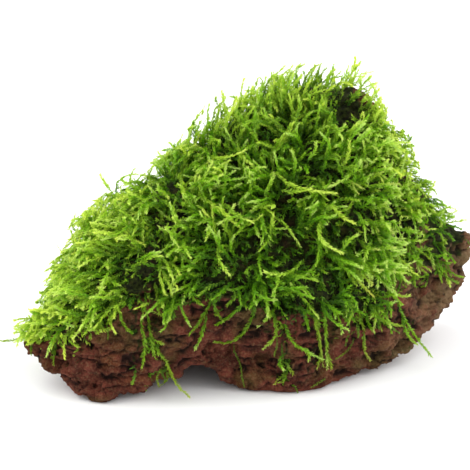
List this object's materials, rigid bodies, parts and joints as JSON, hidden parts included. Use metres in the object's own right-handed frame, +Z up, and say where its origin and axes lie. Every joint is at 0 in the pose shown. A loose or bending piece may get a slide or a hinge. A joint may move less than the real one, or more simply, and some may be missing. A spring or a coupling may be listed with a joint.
{
  "type": "java moss on lava rock",
  "caption": "Lump of porous red-brown lava rock on flat resting pads, its sloping top under a deep cushion of leafy green java moss that trails over the bare front face.",
  "frame": {"origin": "middle of the bounding box's footprint, on the surface that the rock rests on", "axes": "+X along the rock's long side towards its high end, -Y out of the mossy front slope, +Z up"},
  "size_m": [0.1492, 0.0798, 0.091],
  "materials": {
    "lava_rock": "dull, rough and porous red-brown scoria with dark pits",
    "moss_cushion": null,
    "shoulder_moss": null
  },
  "bodies": {
    "root": {"lava_rock": "lava_rock", "moss_cushion": "moss_cushion", "shoulder_moss": "shoulder_moss"}
  },
  "joints": []
}
